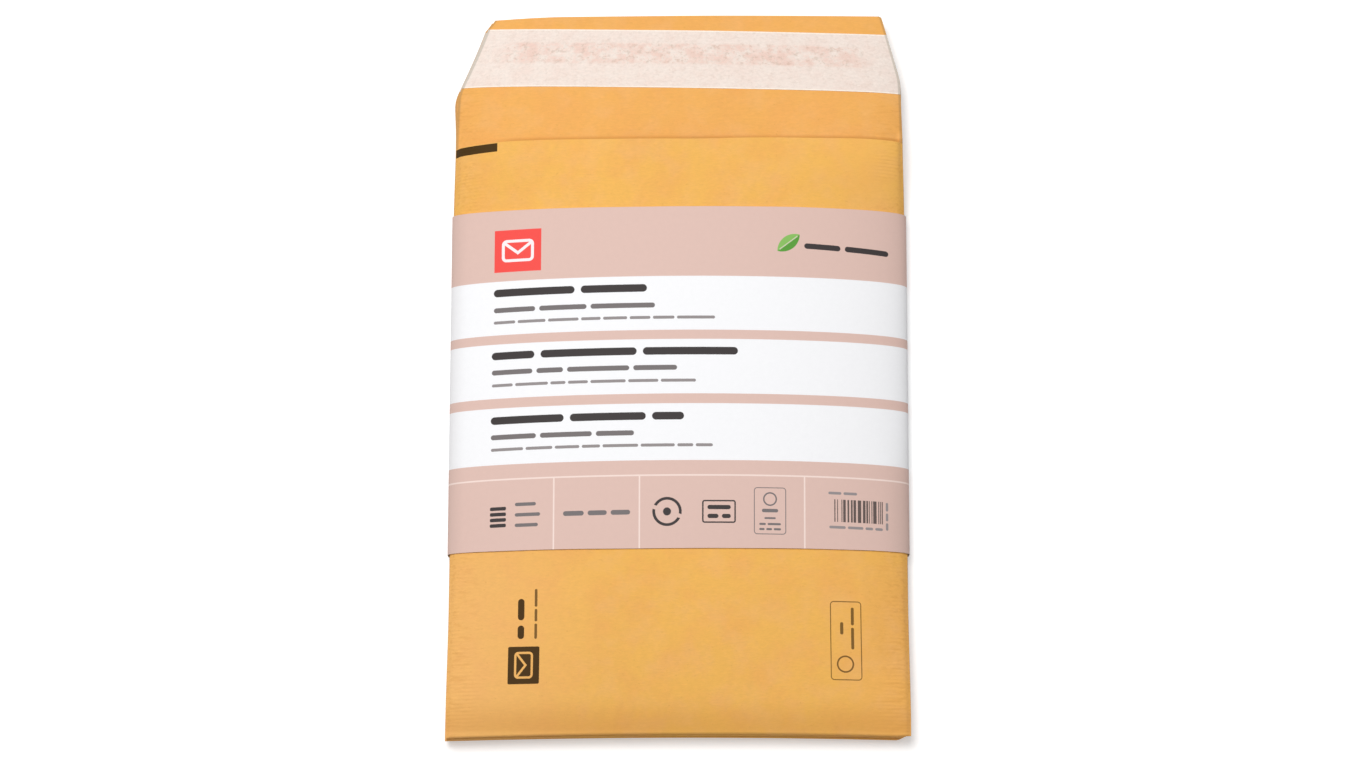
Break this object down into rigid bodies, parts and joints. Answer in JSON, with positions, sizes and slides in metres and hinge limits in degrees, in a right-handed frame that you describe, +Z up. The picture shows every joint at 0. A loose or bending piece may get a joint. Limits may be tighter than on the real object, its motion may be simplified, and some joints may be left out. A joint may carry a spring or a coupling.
{
  "type": "pack of padded envelopes",
  "caption": "Stack of padded kraft paper envelopes with open flaps and peel-off closure strips, held together by a printed paper band, for posting goods.",
  "frame": {"origin": "on the flat underside of the paper band, below the middle of the envelopes' bodies", "axes": "+X to the right as the front is read, +Y from the bottom folds towards the open flaps, +Z up through the stack, from its back to its front"},
  "size_m": [0.1718, 0.2776, 0.022],
  "materials": {
    "kraft": "golden kraft paper, satin, faintly mottled",
    "padding": "soft brown padding paper, matt",
    "adhesive": "pale yellowish pressure-sensitive adhesive, slightly glossy",
    "liner": "silicone-coated release paper, pinkish white, semi-gloss",
    "band": "coated printing paper, pale pink with white stripes, semi-gloss"
  },
  "bodies": {
    "root": {"kraft_wrap_1": "kraft", "kraft_wrap_2": "kraft", "kraft_wrap_3": "kraft", "kraft_wrap_4": "kraft", "padding_pouch_1": "padding", "padding_pouch_2": "padding", "padding_pouch_3": "padding", "padding_pouch_4": "padding", "adhesive_strip_1": "adhesive", "adhesive_strip_2": "adhesive", "adhesive_strip_3": "adhesive", "adhesive_strip_4": "adhesive", "release_liner_1": "liner", "release_liner_2": "liner", "release_liner_3": "liner", "release_liner_4": "liner", "paper_band": "band"}
  },
  "joints": []
}
